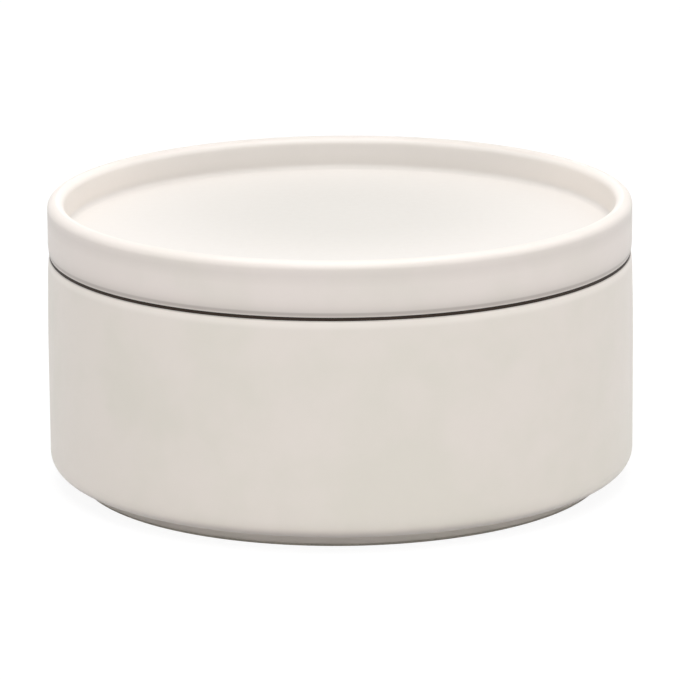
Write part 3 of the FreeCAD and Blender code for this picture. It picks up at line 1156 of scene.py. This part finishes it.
@dataclass
class SealRing:
    """The soft ring: a flange between jar and lid, a wall round the collar, a bead inside, fins outside.

    The flange's edge and the ring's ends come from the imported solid. Sizes are in metres.

    Attributes:
        finish: the silicone.
        flange: thickness of the flange.
        flange_edge: rounding of the flange's edges.
        rebate: depth of the step in the flange's top that takes the lid's drip edge.
        rebate_width: width of that step.
        droop: how far the flange's lower lip hangs over the jar's rim.
        wall_in: inside radius of the ring's wall.
        wall_out: outside radius of the ring's wall.
        wall_edge: rounding of the wall's ends.
        bead_depth: how far the bead stands in from the wall.
        bead_half: half of the bead's width.
        bead_middle: how far below the flange the bead lies.
        bead_root: rounding where the bead meets the wall.
        bead_crest: rounding of the bead itself.
        fin_count: how many fins there are.
        fin_tip: radius that the fins reach.
        fin_drop: how far below the flange the first fin starts.
        fin_pitch: distance from fin to fin.
        fin_root: thickness of a fin at the wall.
        fin_end: thickness of a fin at its tip.
        fin_rise: how far a fin rises from wall to tip.
        fin_fillet: rounding where a fin meets the wall.
        fin_round: rounding of a fin's tip.
        lathe: what turns the section.
        tracer: what draws the section.
    """

    finish: DarkSilicone = DarkSilicone("dark_silicone")
    flange: float = 0.9 * MM
    flange_edge: float = 0.06 * MM
    rebate: float = 0.2 * MM
    rebate_width: float = 0.42 * MM
    droop: float = 0.16 * MM
    wall_in: float = 69.0 * MM
    wall_out: float = 70.5 * MM
    wall_edge: float = 0.4 * MM
    bead_depth: float = 1.0 * MM
    bead_half: float = 1.5 * MM
    bead_middle: float = 3.8 * MM
    bead_root: float = 0.3 * MM
    bead_crest: float = 0.5 * MM
    fin_count: int = 2
    fin_tip: float = 72.2 * MM
    fin_drop: float = 3.2 * MM
    fin_pitch: float = 3.0 * MM
    fin_root: float = 1.2 * MM
    fin_end: float = 0.6 * MM
    fin_rise: float = 0.8 * MM
    fin_fillet: float = 0.35 * MM
    fin_round: float = 0.25 * MM
    lathe: Lathe = Lathe(wave=0.01 * MM)
    tracer: Tracer = Tracer(arc_steps=7, spacing=1.2 * MM, blur=0.4 * MM)

    def fin(self, under: float, number: int) -> list[Corner]:
        """The corners of one fin, from its lower root round its tip to its upper root.

        Args:
            under: height of the flange's underside.
            number: which fin, counted down from 0.

        Returns:
            Its four corners.
        """
        low = under - self.fin_drop - number * self.fin_pitch
        return [
            Corner(self.wall_out, low, self.fin_fillet),
            Corner(self.fin_tip, low + self.fin_rise, self.fin_round),
            Corner(self.fin_tip, low + self.fin_rise + self.fin_end, self.fin_round),
            Corner(self.wall_out, low + self.fin_root, self.fin_fillet),
        ]

    def outline(self) -> Outline:
        """The closed section, from the wall's lower end up the fins, round the flange and down the bead."""
        solid = Node.RING.solid()
        outer, top, end = solid.radius, solid.top, solid.bottom
        under = top - self.flange
        shelf = outer - self.rebate_width
        middle = under - self.bead_middle
        fins = [corner for number in reversed(range(self.fin_count)) for corner in self.fin(under, number)]
        return self.tracer.trace([
            Corner(self.wall_in, end, self.wall_edge),
            Corner(self.wall_out, end, self.wall_edge),
            *fins,
            Corner(self.wall_out, under, self.wall_edge),
            Corner(shelf, under, self.flange_edge),
            Corner(outer, under - self.droop, self.flange_edge),
            Corner(outer, top - self.rebate, self.flange_edge),
            Corner(shelf, top - self.rebate, self.flange_edge),
            Corner(shelf, top, self.flange_edge),
            Corner(self.wall_in, top, self.wall_edge),
            Corner(self.wall_in, middle + self.bead_half, self.bead_root),
            Corner(self.wall_in - self.bead_depth, middle, self.bead_crest),
            Corner(self.wall_in, middle - self.bead_half, self.bead_root),
        ], closed=True)

    def build(self) -> bpy.types.Object:
        """Make the ring and dress it."""
        outline = self.outline()
        piece = self.lathe.spin("silicone_ring", outline, {Trait.EDGE_WEAR_AND_HIGHLIGHT: outline.edges})
        dress(piece, self.finish.build(), Node.RING, Body.LID)
        return piece


def seen_ray(tree: bpy.types.NodeTree) -> bpy.types.NodeSocket:
    """A value that is 1 for what the camera sees straight or in gloss, and 0 for other light.

    Args:
        tree: the node tree of the floor or the world.

    Returns:
        The value, for a mix of the look seen and the light given.
    """
    path = tree.nodes.new("ShaderNodeLightPath")
    seen = path.outputs["Is Camera Ray"]
    for ray in ("Is Glossy Ray", "Is Transmission Ray"):
        either = tree.nodes.new("ShaderNodeMath")
        either.operation = "MAXIMUM"
        tree.links.new(seen, either.inputs[0])
        tree.links.new(path.outputs[ray], either.inputs[1])
        seen = either.outputs["Value"]
    return seen


def show(tree: bpy.types.NodeTree, given: bpy.types.NodeSocket, seen: bpy.types.NodeSocket,
         output: bpy.types.NodeSocket) -> None:
    """Join two shaders to an output, one for the light that a surface gives and one for how it looks.

    Args:
        tree: the node tree of the floor or the world.
        given: the shader for the light given.
        seen: the shader for the look seen.
        output: the tree's output.
    """
    choose = tree.nodes.new("ShaderNodeMixShader")
    tree.links.new(seen_ray(tree), choose.inputs["Fac"])
    tree.links.new(given, choose.inputs[1])
    tree.links.new(seen, choose.inputs[2])
    tree.links.new(choose.outputs["Shader"], output)


@dataclass(frozen=True)
class AreaLamp:
    """A soft square lamp.

    Attributes:
        name: the lamp's name.
        place: where it stands, in metres.
        size: its side, in metres.
        power: its power, in watts.
        aim: the point that it faces, in metres.
    """

    name: str
    place: tuple[float, float, float]
    size: float
    power: float
    aim: tuple[float, float, float] = (0.0, 0.0, 0.05)

    def build(self) -> bpy.types.Object:
        """Make the lamp."""
        data = bpy.data.lights.new(self.name, "AREA")
        data.shape = "SQUARE"
        data.size = self.size
        data.energy = self.power
        lamp = bpy.data.objects.new(self.name, data)
        lamp.location = self.place
        lamp.rotation_euler = (Vector(self.aim) - Vector(self.place)).to_track_quat("-Z", "Y").to_euler()
        bpy.context.scene.collection.objects.link(lamp)
        return lamp


@dataclass
class Studio:
    """A plain pale floor, soft light from all round and above, and a long-lens camera.

    Attributes:
        lamps: the soft lamps.
        sky: strength of the even light from all round.
        sky_seen: strength of the white that the camera and reflections see instead.
        floor_size: side of the floor, in metres.
        floor_tone: how much light the floor sends back to the object, from 0 to 1.
        floor_glow: how far the camera sees the floor as white by itself, from 0 to 1.
        floor_seen: the floor's own colour as the camera sees it, on top of its glow.
        distance: camera to the point that it looks at, in metres.
        elevation: the camera's angle above the table, in degrees.
        roll: how far the camera is turned about its own line of sight, in degrees.
        lens: focal length, in millimetres.
        sensor: width of the camera's sensor, in millimetres.
        nearest: distance at which the camera's view begins, in metres.
        farthest: distance at which it ends, in metres.
        look_at: the point at the picture's centre, in metres.
    """

    lamps: tuple[AreaLamp, ...] = (
        AreaLamp("overhead", place=(0.0, 0.0, 1.95), size=1.5, power=21.5),
        AreaLamp("front_high", place=(0.0, -1.22, 1.50), size=1.2, power=12.9),
        AreaLamp("side_left", place=(-1.43, 0.25, 1.27), size=1.2, power=2.5),
        AreaLamp("side_right", place=(1.43, 0.25, 1.27), size=1.2, power=5.8),
    )
    sky: float = 0.29
    sky_seen: float = 1.0
    floor_size: float = 8.0
    floor_tone: float = 0.85
    floor_glow: float = 0.91
    floor_seen: float = 0.13
    distance: float = 1.4
    elevation: float = 14.25
    roll: float = -0.45
    lens: float = 279.2
    sensor: float = 36.0
    nearest: float = 0.05
    farthest: float = 50.0
    look_at: tuple[float, float, float] = (-0.0002, 0.0, 0.03655)

    def floor(self) -> bpy.types.Object:
        """The floor, a flat sheet under the foot."""
        half = self.floor_size / 2
        corners = [(-half, -half, 0.0), (half, -half, 0.0), (half, half, 0.0), (-half, half, 0.0)]
        mesh = bpy.data.meshes.new("floor")
        mesh.from_pydata(corners, [], [(0, 1, 2, 3)])
        mesh.materials.append(self._paper())
        sheet = bpy.data.objects.new("floor", mesh)
        bpy.context.scene.collection.objects.link(sheet)
        return sheet

    def _paper(self) -> bpy.types.Material:
        """White paper that the camera sees as nearly white by itself, with the object's shadow on it."""
        paper = bpy.data.materials.new("floor_paper")
        paper.use_nodes = True
        nodes, links = paper.node_tree.nodes, paper.node_tree.links
        nodes.clear()
        output = nodes.new("ShaderNodeOutputMaterial")
        plain, seen = nodes.new("ShaderNodeBsdfDiffuse"), nodes.new("ShaderNodeBsdfDiffuse")
        plain.inputs["Color"].default_value = (self.floor_tone,) * 3 + (1.0,)
        seen.inputs["Color"].default_value = (self.floor_seen,) * 3 + (1.0,)
        glow = nodes.new("ShaderNodeEmission")
        glow.inputs["Strength"].default_value = self.floor_glow
        both = nodes.new("ShaderNodeAddShader")
        links.new(seen.outputs["BSDF"], both.inputs[0])
        links.new(glow.outputs["Emission"], both.inputs[1])
        show(paper.node_tree, plain.outputs["BSDF"], both.outputs["Shader"], output.inputs["Surface"])
        return paper

    def world(self) -> bpy.types.World:
        """Even light from all round, which the camera and reflections see as white."""
        world = bpy.data.worlds.new("studio")
        bpy.context.scene.world = world
        world.use_nodes = True
        nodes = world.node_tree.nodes
        nodes.clear()
        surface = nodes.new("ShaderNodeOutputWorld").inputs["Surface"]
        even, white = nodes.new("ShaderNodeBackground"), nodes.new("ShaderNodeBackground")
        for shader, strength in ((even, self.sky), (white, self.sky_seen)):
            shader.inputs["Color"].default_value = (1.0, 1.0, 1.0, 1.0)
            shader.inputs["Strength"].default_value = strength
        show(world.node_tree, even.outputs["Background"], white.outputs["Background"], surface)
        return world

    def camera(self) -> bpy.types.Object:
        """The camera: it stands back from the point it looks at, along a line raised by the elevation."""
        data = bpy.data.cameras.new("camera")
        data.lens = self.lens
        data.sensor_width = self.sensor
        data.dof.use_dof = False
        data.clip_start, data.clip_end = self.nearest, self.farthest
        rise = math.radians(self.elevation)
        back = Vector((0.0, -math.cos(rise), math.sin(rise)))
        turn = (-back).to_track_quat("-Z", "Y").to_matrix().to_4x4()
        roll = Matrix.Rotation(math.radians(self.roll), 4, "Z")
        camera = bpy.data.objects.new("camera", data)
        camera.matrix_world = Matrix.Translation(Vector(self.look_at) + back * self.distance) @ turn @ roll
        bpy.context.scene.collection.objects.link(camera)
        bpy.context.scene.camera = camera
        return camera

    def build(self) -> None:
        """Set up floor, light and camera, with colours shown plainly."""
        self.floor()
        self.world()
        for lamp in self.lamps:
            lamp.build()
        self.camera()
        bpy.context.scene.view_settings.view_transform = "Standard"


def main() -> None:
    """Build the jar, its lid and its seal ring, then the studio."""
    logging.basicConfig(level=logging.INFO, format="%(name)s: %(message)s")
    for part in (Jar(), Lid(), SealRing()):
        piece = part.build()
        LOG.info("%s: %d points, %d faces", piece.name, len(piece.data.vertices), len(piece.data.polygons))
    Studio().build()


if __name__ == "__main__":
    main()
